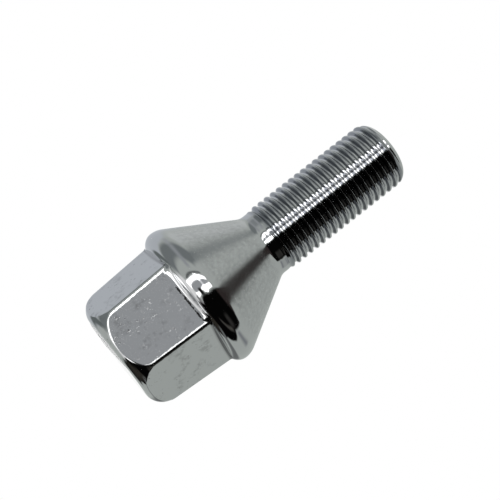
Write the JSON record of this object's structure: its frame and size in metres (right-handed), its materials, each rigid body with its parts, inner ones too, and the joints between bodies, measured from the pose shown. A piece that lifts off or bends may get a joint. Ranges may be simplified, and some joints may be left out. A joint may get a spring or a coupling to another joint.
{
  "type": "wheel bolt",
  "caption": "Bright plated wheel bolt: tall hexagon head with a round end, round rim, cone seat, short neck and a fine-threaded shank with a round tip.",
  "frame": {"origin": "centre of the end face of the head, on which the bolt stands", "axes": "+Z along the bolt from the head to the tip of the thread, +X square to one flat of the hexagon"},
  "size_m": [0.0294, 0.0294, 0.0656],
  "materials": {
    "plated_steel": "bright plating over forged and rolled steel, satin on the cone seat, fine pits on the flats"
  },
  "bodies": {
    "root": {"wheel_bolt": "plated_steel"}
  },
  "joints": []
}
